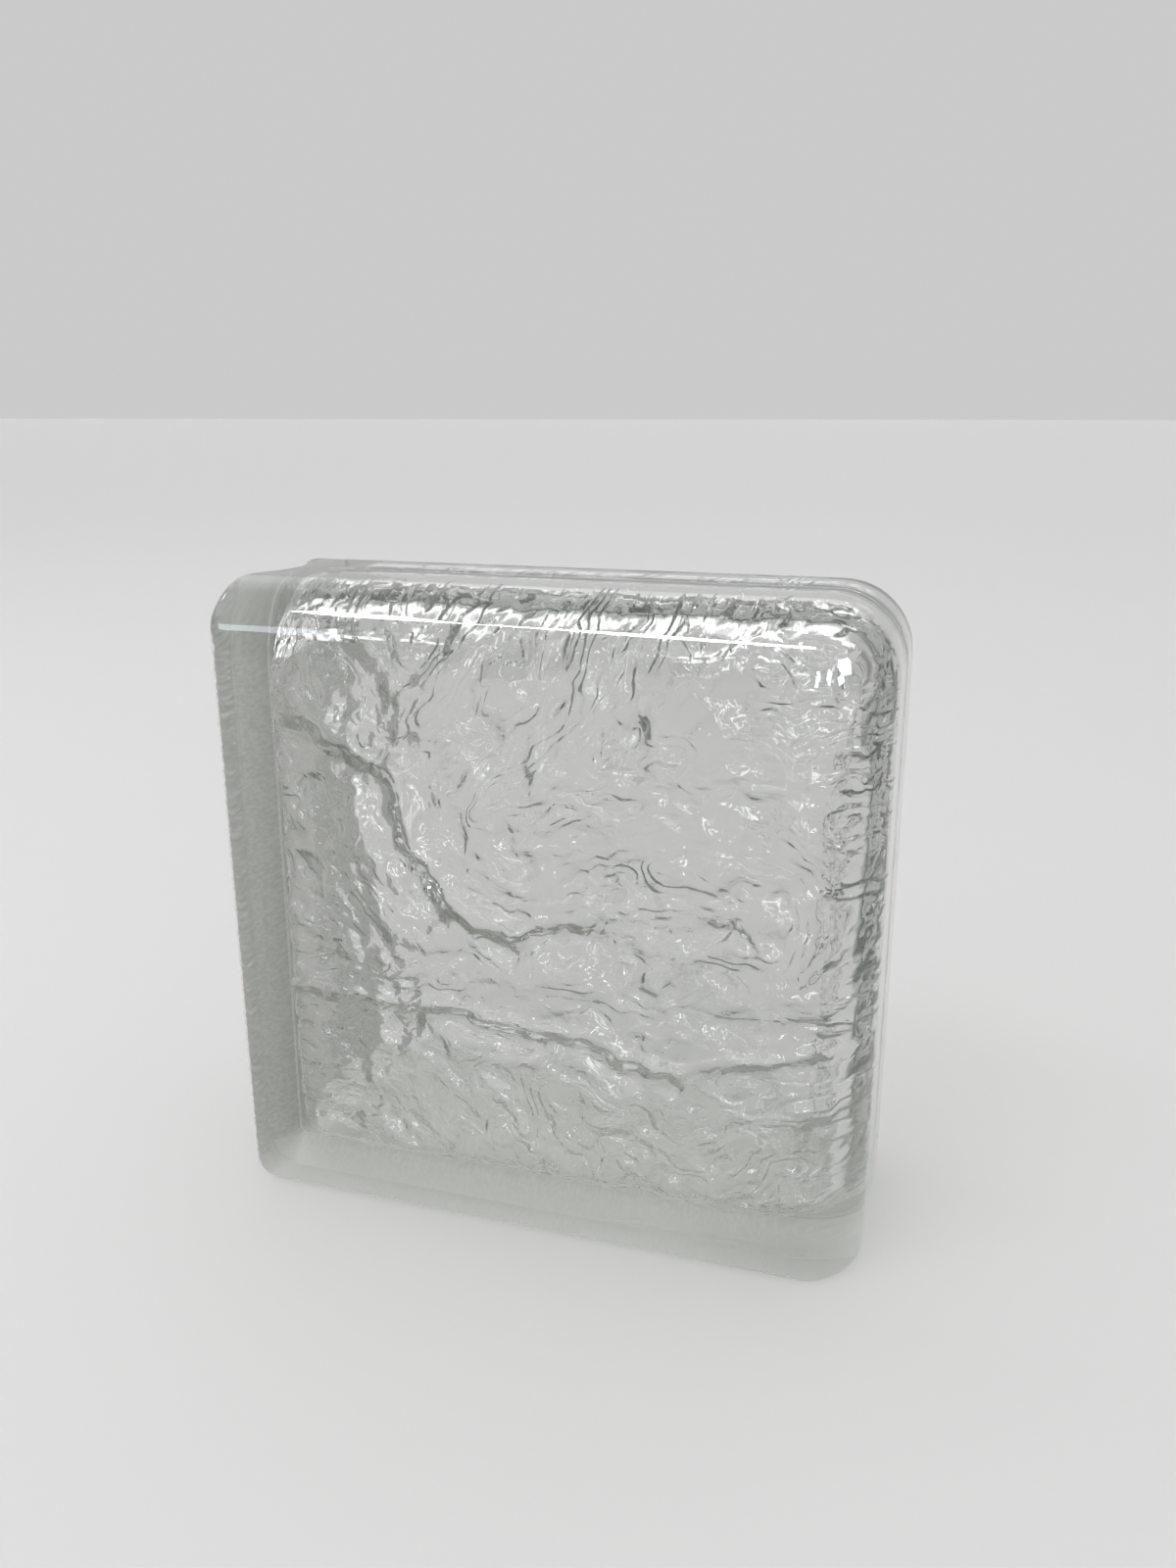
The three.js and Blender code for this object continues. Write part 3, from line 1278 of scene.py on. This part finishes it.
@dataclass(frozen=True)
class PressedGlass:
    """Clear soda-lime glass with a faint green body colour, sandy on the sides that take the mortar.

    The grain is the fine hatching of the sandy sides; on the underside it is calmer. The underside also has
    painted shade in its matt colour, which darkens it a little and more toward the right end. The skin is the
    finest relief of the clear glass: small wrinkles, and terraces with short slopes between them. Light that
    has turned more often than the longest path goes straight on.
    """

    tint: tuple[float, float, float] = (0.69, 0.715, 0.685)
    density: float = 25.0
    ior: float = 1.52
    sand_roughness: float = 0.5
    sand_cover: float = 0.7
    clear_colour: tuple[float, float, float] = (0.9, 0.9, 0.895)
    sand_colour: tuple[float, float, float] = (0.72, 0.7, 0.68)
    grain_size: float = 1.0 * MM
    grain_detail: float = 2.0
    grain_stretch: tuple[float, float, float] = (1.0, 0.15, 1.0)
    grain_edge: tuple[float, float] = (0.3, 0.7)
    grain_contrast: float = 0.21
    underside_grain: float = 0.2
    # Painted shade in the underside's matt colour: the first factor at its left part, falling to the second
    # toward the right end over this span.
    underside_painted_shade: float = 0.95
    right_end_painted_shade: float = 0.78
    painted_shade_fall: tuple[float, float] = (30 * MM, 90 * MM)
    underside_edge: tuple[float, float] = (1 * MM, 9 * MM)
    skin_height: float = 0.3 * MM
    skin_size: float = 3.4 * MM
    terrace_size: float = 15 * MM
    terrace_detail: float = 1.5
    terraces: float = 10.0
    terrace_height: float = 0.4 * MM
    terrace_edge: float = 0.4
    longest_path: int = 8
    shadow_tint: tuple[float, float, float] = (0.93, 0.935, 0.93)

    def material(self) -> bpy.types.Material:
        """Builds the glass.

        Returns:
            The material, for the whole block.
        """
        material = bpy.data.materials.new("pressed_glass")
        material.use_nodes = True
        material.node_tree.nodes.clear()
        nodes = Nodes(material.node_tree)
        output = nodes.add("ShaderNodeOutputMaterial")
        clear = nodes.add("ShaderNodeBsdfTransparent")
        clear.inputs["Color"].default_value = (*self.shadow_tint, 1.0)
        mix = nodes.add("ShaderNodeMixShader")
        for socket, value in zip(mix.inputs, (self._passing(nodes), self._surface(nodes), clear.outputs[0])):
            nodes.feed(socket, value)
        absorption = nodes.add("ShaderNodeVolumeAbsorption")
        absorption.inputs["Color"].default_value = (*self.tint, 1.0)
        absorption.inputs["Density"].default_value = self.density
        nodes.feed(output.inputs["Surface"], mix.outputs[0])
        nodes.feed(output.inputs["Volume"], absorption.outputs[0])
        return material

    def _surface(self, nodes: Nodes) -> Socket:
        """The surface that is seen, clear or matt.

        Args:
            nodes: where the nodes go.

        Returns:
            The surface's shader.
        """
        glass = nodes.add("ShaderNodeBsdfPrincipled")
        glass.inputs["IOR"].default_value = self.ior
        sand = nodes.add("ShaderNodeAttribute", attribute_name=SAND).outputs["Fac"]
        clearness = nodes.math("MULTIPLY_ADD", sand, -self.sand_cover, 1.0)
        nodes.feed(glass.inputs["Transmission Weight"], clearness)
        # The matt colour carries the grain, and painted shade on the underside.
        matt = nodes.scale(self.sand_colour, self._grain_and_painted_shade(nodes))
        nodes.feed(glass.inputs["Base Color"], nodes.mix(sand, (*self.clear_colour, 1.0), matt))
        nodes.feed(glass.inputs["Roughness"], nodes.times(sand, self.sand_roughness))
        bump = nodes.add("ShaderNodeBump")
        bump.inputs["Distance"].default_value = 1.0
        nodes.feed(bump.inputs["Height"], self._skin(nodes))
        nodes.feed(glass.inputs["Normal"], bump.outputs[0])
        return glass.outputs[0]

    def _passing(self, nodes: Nodes) -> Socket:
        """1 for light that goes straight on through the glass: for shadows, for the floor, and when trapped.

        Args:
            nodes: where the nodes go.

        Returns:
            The mark.
        """
        path = nodes.add("ShaderNodeLightPath")
        trapped = nodes.math("GREATER_THAN", path.outputs["Ray Depth"], self.longest_path)
        lighting = nodes.math("MAXIMUM", path.outputs["Is Shadow Ray"], path.outputs["Is Diffuse Ray"])
        return nodes.math("MAXIMUM", lighting, trapped)

    def _grain_and_painted_shade(self, nodes: Nodes) -> Socket:
        """The matt skin's fine hatching, about 1 and calmer underneath, times painted shade that darkens the
        underside, more toward the right.

        Args:
            nodes: where the nodes go.

        Returns:
            The factor that the matt colour is multiplied by.
        """
        place = nodes.add("ShaderNodeTexCoord").outputs["Object"]
        hatch = nodes.vector("MULTIPLY", place, self.grain_stretch)
        grain = nodes.ramp(nodes.noise(hatch, self.grain_size, detail=self.grain_detail), *self.grain_edge)
        x, _, z = nodes.split(place)
        raised = nodes.ramp(z, *self.underside_edge)
        spread = nodes.math("MULTIPLY_ADD", raised, 1 - self.underside_grain, self.underside_grain)
        spread = nodes.times(spread, nodes.math("SUBTRACT", grain, 0.5))
        grey = nodes.math("MULTIPLY_ADD", spread, self.grain_contrast, 1.0)
        # Painted shade: the underside is darkened a little, and more toward its right end.
        far = nodes.ramp(x, *self.painted_shade_fall)
        below = nodes.math("MULTIPLY_ADD", far, self.right_end_painted_shade - self.underside_painted_shade, self.underside_painted_shade)
        painted_darkening = nodes.math("MULTIPLY_ADD", raised, nodes.math("SUBTRACT", 1.0, below), below)
        return nodes.times(grey, painted_darkening)

    def _skin(self, nodes: Nodes) -> Socket:
        """The finest wrinkles and steps of the pressed ice, which follow the folds.

        Args:
            nodes: where the nodes go.

        Returns:
            The height, in metres.
        """
        flow = nodes.add("ShaderNodeAttribute", attribute_name=FLOW).outputs["Vector"]
        lively = nodes.add("ShaderNodeAttribute", attribute_name=LIVELY).outputs["Fac"]
        wrinkles = nodes.noise(flow, self.skin_size)
        crests = nodes.math("ABSOLUTE", nodes.math("SUBTRACT", wrinkles, 0.5))
        level = nodes.times(nodes.noise(flow, self.terrace_size, detail=self.terrace_detail), self.terraces)
        halfway = self.terrace_edge / 2
        rise = nodes.ramp(nodes.math("FRACT", level), 0.5 - halfway, 0.5 + halfway)
        steps = nodes.times(nodes.math("ADD", nodes.math("FLOOR", level), rise), self.terrace_height)
        height = nodes.math("MULTIPLY_ADD", crests, -2 * self.skin_height, steps)
        return nodes.times(height, lively)


# ---------------------------------------------------------------- the block


@dataclass
class GlassBlock:
    """The fused block: its outside, its cavity and the relief inside both faces."""

    sizes: BlockSizes
    glass: PressedGlass
    relief: IceRelief
    front_pitch: float = 1 * MM
    back_pitch: float = 1.6 * MM
    edge_steps: int = 24
    rim_steps: int = 8
    lip_steps: int = 4
    key_steps: int = 14
    seam_steps: int = 4
    outside_spacing: float = 0.04 * MM
    finished_fillet_steps: int = 13
    mortar_fillet_steps: int = 4
    wall_steps: int = 12
    inside_spacing: float = 0.12 * MM
    smooth_angle: float = math.radians(38)

    def outside(self) -> bpy.types.Object:
        """The outside of the block, the back half mirrored from the front one.

        Returns:
            The closed shell of the outside.
        """
        sizes = self.sizes
        depths = arc_depths(sizes.finished_edge_radius, self.edge_steps)
        depths += arc_depths(sizes.rim_radius, self.rim_steps)
        depths += even_depths(sizes.rim_radius, sizes.lip_width, self.lip_steps)
        depths += even_depths(sizes.lip_width, sizes.half_depth - sizes.seam_radius, self.key_steps)
        depths += [sizes.half_depth - depth for depth in arc_depths(sizes.seam_radius, self.seam_steps)]
        sections = [sizes.outer_section(depth) for depth in in_order(depths, self.outside_spacing)]
        piece = Loft("glass_body", sections).build()
        MortarRibs(sizes.low, sizes.high, sizes.rib_start, sizes.lip_width, sizes.key_depth).press(piece)
        apply_modifier(piece, "MIRROR", use_axis=(False, True, False), use_clip=True, merge_threshold=MERGED)
        return piece

    def cup(self, name: str, pitch: float) -> bpy.types.Object:
        """One half of the cavity, in front of the seam and still smooth.

        Args:
            name: the new object's name.
            pitch: spacing of its vertices.

        Returns:
            The cup, open at the seam.
        """
        sizes = self.sizes
        face = sizes.face_thickness
        fillets = arc_depths(sizes.finished_fillet, self.finished_fillet_steps)
        fillets += arc_depths(sizes.mortar_fillet, self.mortar_fillet_steps)
        depths = [face + depth for depth in fillets]
        depths += even_depths(face + sizes.finished_fillet, sizes.half_depth, self.wall_steps)
        sections = [sizes.cavity_section(depth) for depth in in_order(depths, self.inside_spacing)]
        return Cup(name, sections, pitch).build()

    def turn_over(self, piece: bpy.types.Object) -> None:
        """Turns a half over about the diagonal through the finished corner, to behind the seam.

        Args:
            piece: the half to turn.
        """
        move_origin(piece, (self.sizes.low + self.sizes.high) / 2)
        piece.rotation_mode = "AXIS_ANGLE"
        piece.rotation_axis_angle = (math.pi, 1, 0, 1)
        settle(piece)

    def cavity(self) -> bpy.types.Object:
        """The whole cavity as a shell that faces into the hollow.

        Returns:
            The closed shell, with both reliefs on it.
        """
        front = self.cup("front_cup", self.front_pitch)
        back = self.cup("back_cup", self.back_pitch)
        self.relief.press(front, back)
        self.turn_over(back)
        activate(front)
        back.select_set(True)
        bpy.ops.object.join()
        bpy.ops.object.mode_set(mode="EDIT")
        select_open_edges(front)
        bpy.ops.mesh.bridge_edge_loops()
        close_shell(inside=True)
        return front

    def build(self) -> bpy.types.Object:
        """Builds, joins and dresses the whole block.

        Returns:
            The finished glass body.
        """
        body = self.outside()
        cavity = self.cavity()
        activate(body)
        cavity.select_set(True)
        bpy.ops.object.join()
        bpy.ops.object.shade_smooth_by_angle(angle=self.smooth_angle)
        apply_modifier(body, "WEIGHTED_NORMAL", keep_sharp=True)
        body.data.materials.clear()
        body.data.materials.append(self.glass.material())
        move_origin(body, (0, 0, 0))
        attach(body, "root")
        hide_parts("front_half", "back_half")
        return body


# ---------------------------------------------------------------- the studio


@dataclass(frozen=True)
class Panel:
    """A far row of bright upright rectangles in a direction, such as the panes of a window."""

    direction: tuple[float, float, float]
    width: float
    height: float
    strength: float
    spacing: float = 1.0
    bars: int = 1
    soft: float = 0.015

    def mask(self, nodes: Nodes, looking: Any) -> Socket:
        """1 where a look meets one of the rectangles, softly 0 round it.

        Args:
            nodes: where the nodes go.
            looking: the direction of the look.

        Returns:
            The mask.
        """
        ahead = Vector(self.direction).normalized()
        right = ahead.cross(Vector((0, 0, 1))).normalized()
        upward = right.cross(ahead)
        depth = nodes.dot(looking, ahead)
        across = nodes.math("DIVIDE", nodes.dot(looking, right), depth)
        in_row = nodes.math("LESS_THAN", nodes.math("ABSOLUTE", across), self.spacing * self.bars / 2)
        across = nodes.math("PINGPONG", across, self.spacing / 2)
        along = nodes.math("ABSOLUTE", nodes.math("DIVIDE", nodes.dot(looking, upward), depth))
        across = nodes.ramp(across, self.width / 2 + self.soft, self.width / 2)
        along = nodes.ramp(along, self.height / 2 + self.soft, self.height / 2)
        inside = nodes.times(across, along)
        ahead_only = nodes.times(in_row, nodes.math("GREATER_THAN", depth, 0.0))
        return nodes.times(inside, ahead_only)


@dataclass(frozen=True)
class Lamp:
    """A soft rectangular lamp."""

    name: str
    place: tuple[float, float, float]
    size: tuple[float, float]
    power: float
    colour: tuple[float, float, float] = (1.0, 1.0, 1.0)

    def hang(self, target: Vector) -> None:
        """Adds the lamp, aimed at a target.

        Args:
            target: what the lamp is aimed at.
        """
        clear_selection()
        bpy.ops.object.light_add(type="AREA", location=self.place)
        lamp = bpy.context.object
        lamp.name = self.name
        lamp.data.shape = "RECTANGLE"
        lamp.data.size, lamp.data.size_y = self.size
        lamp.data.energy = self.power
        lamp.data.color = self.colour
        lamp.rotation_euler = (target - Vector(self.place)).to_track_quat("-Z", "Y").to_euler()


@dataclass
class Studio:
    """Floor, light and camera.

    The room has a strength of its own for each use: lighting the scene, being seen, being seen in front of
    the block in a reflection, and overhead. The panels show only in reflections, and the first has the tint
    of daylight.
    """

    centre: Vector
    floor_colour: tuple[float, float, float] = (0.54, 0.5346, 0.5292)
    floor_roughness: float = 0.7
    floor_drop: float = 0.02 * MM
    back_light: float = 0.6
    front_light: float = 0.32
    room_light: float = 1.0
    top_light: float = 1.08
    front_edge: tuple[float, float] = (0.3, 0.75)
    overhead_edge: tuple[float, float] = (0.3, 0.6)
    floor_size: float = 30.0
    room_colour: tuple[float, float, float] = (0.99, 0.99, 1.0)
    daylight: tuple[float, float, float] = (0.88, 0.945, 1.0)
    panels: tuple[Panel, ...] = (
        Panel((0.36, -0.95, 0.2), width=0.08, height=0.42, strength=28, spacing=0.3, bars=3),
        Panel((0.7, -0.7, 0.45), width=0.3, height=0.4, strength=16),
        Panel((0.4, 0.2, 0.85), width=0.1, height=0.3, strength=8, spacing=0.5, bars=3),
        Panel((-0.35, 0.8, 0.62), width=1.3, height=0.6, strength=0.5, soft=0.15),
    )
    lamps: tuple[Lamp, ...] = (
        Lamp("window", (-1.25, -1.35, 1.15), size=(0.7, 0.26), power=3.6, colour=(0.8, 0.89, 1.0)),
        Lamp("ceiling_panel", (-0.54, -0.87, 1.68), size=(1.05, 0.1), power=10),
        Lamp("ceiling_left", (-1.6, 0.3, 1.5), size=(0.32, 0.2), power=2),
    )
    bounces: int = 24
    clear_bounces: int = 16
    camera_place: tuple[float, float, float] = (0.1161, -0.3444, 0.2384)
    camera_yaw: float = math.radians(-17.8)
    camera_pitch: float = math.radians(16.8)
    camera_roll: float = math.radians(-0.2)
    camera_lens: float = 29.3
    camera_sensor: float = 36.0
    camera_near: float = 0.01

    def floor(self) -> None:
        """A plain pale floor."""
        clear_selection()
        bpy.ops.mesh.primitive_plane_add(size=self.floor_size, location=(0, 0, -self.floor_drop))
        floor = bpy.context.object
        floor.name = "floor"
        material = bpy.data.materials.new("pale_floor")
        material.use_nodes = True
        shader = material.node_tree.nodes["Principled BSDF"]
        shader.inputs["Base Color"].default_value = (*self.floor_colour, 1.0)
        shader.inputs["Roughness"].default_value = self.floor_roughness
        floor.data.materials.append(material)
        floor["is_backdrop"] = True

    def sky(self) -> None:
        """A pale even room, which in reflections is dimmer behind the camera and has bright panes."""
        world = bpy.data.worlds.new("studio")
        bpy.context.scene.world = world
        world.use_nodes = True
        nodes = Nodes(world.node_tree)
        looking = nodes.add("ShaderNodeTexCoord").outputs["Generated"]
        path = nodes.add("ShaderNodeLightPath")
        through = nodes.math("MAXIMUM", path.outputs["Is Glossy Ray"], path.outputs["Is Transmission Ray"])
        seen = nodes.math("MAXIMUM", path.outputs["Is Camera Ray"], through)
        mirrored = nodes.times(seen, nodes.math("GREATER_THAN", path.outputs["Glossy Depth"], 0.5))
        level = self._room(nodes, looking, seen, mirrored)
        masks = [nodes.times(mirrored, panel.mask(nodes, looking)) for panel in self.panels]
        for panel, mask in zip(self.panels, masks):
            level = nodes.math("MULTIPLY_ADD", mask, panel.strength, level)
        shade = world.node_tree.nodes["Background"]
        nodes.feed(shade.inputs["Strength"], level)
        colour = nodes.mix(masks[0], (*self.room_colour, 1.0), (*self.daylight, 1.0))
        nodes.feed(shade.inputs["Color"], colour)

    def _room(self, nodes: Nodes, looking: Any, seen: Any, mirrored: Any) -> Socket:
        """The room's strength in a direction, without its panels.

        Args:
            nodes: where the nodes go.
            looking: the direction of the look.
            seen: 1 where the look sees the room, 0 where it only lights something.
            mirrored: 1 where the room is seen in a reflection.

        Returns:
            The strength.
        """
        ahead = Vector((math.sin(self.camera_yaw), math.cos(self.camera_yaw), 0))
        behind_block = nodes.ramp(nodes.dot(looking, ahead), *self.front_edge)
        dimmed = nodes.times(mirrored, nodes.math("SUBTRACT", 1.0, behind_block))
        level = nodes.math("MULTIPLY_ADD", seen, self.back_light - self.room_light, self.room_light)
        level = nodes.math("MULTIPLY_ADD", dimmed, self.front_light - self.back_light, level)
        overhead = nodes.ramp(nodes.split(looking)[Axis.Z], *self.overhead_edge)
        more = nodes.times(overhead, nodes.math("SUBTRACT", self.top_light, level))
        return nodes.math("ADD", level, more)

    def camera(self) -> None:
        """The camera, at the view that shows the block's corner from above its right-hand side."""
        clear_selection()
        bpy.ops.object.camera_add(location=self.camera_place)
        camera = bpy.context.object
        turn = Euler((QUARTER_TURN - self.camera_pitch, 0, -self.camera_yaw)).to_quaternion()
        camera.rotation_mode = "QUATERNION"
        camera.rotation_quaternion = turn @ Quaternion((0, 0, 1), self.camera_roll)
        camera.data.lens = self.camera_lens
        camera.data.sensor_width = self.camera_sensor
        camera.data.clip_start = self.camera_near
        bpy.context.scene.camera = camera

    def build(self) -> None:
        """Sets up the whole studio."""
        self.camera()
        self.floor()
        self.sky()
        for lamp in self.lamps:
            lamp.hang(self.centre)
        scene = bpy.context.scene
        scene.view_settings.view_transform = "Standard"
        scene.cycles.max_bounces = self.bounces
        scene.cycles.transmission_bounces = self.bounces
        scene.cycles.glossy_bounces = self.bounces
        scene.cycles.caustics_refractive = False
        scene.cycles.caustics_reflective = False
        scene.cycles.transparent_max_bounces = self.clear_bounces


def main() -> None:
    """Builds the block and the studio."""
    logging.basicConfig(level=logging.INFO, format="%(name)s: %(message)s")
    cad_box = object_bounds()
    margin = Vector((SKIN, SKIN, SKIN))
    sizes = BlockSizes(low=cad_box[0] + margin, high=cad_box[1] - margin)
    block = GlassBlock(sizes, PressedGlass(), IceRelief(long_creases()))
    body = block.build()
    faces = sum(len(face.vertices) - 2 for face in body.data.polygons)
    LOG.info("%s: %d triangles", body.name, faces)
    Studio(centre=(cad_box[0] + cad_box[1]) / 2).build()


if __name__ == "__main__":
    main()
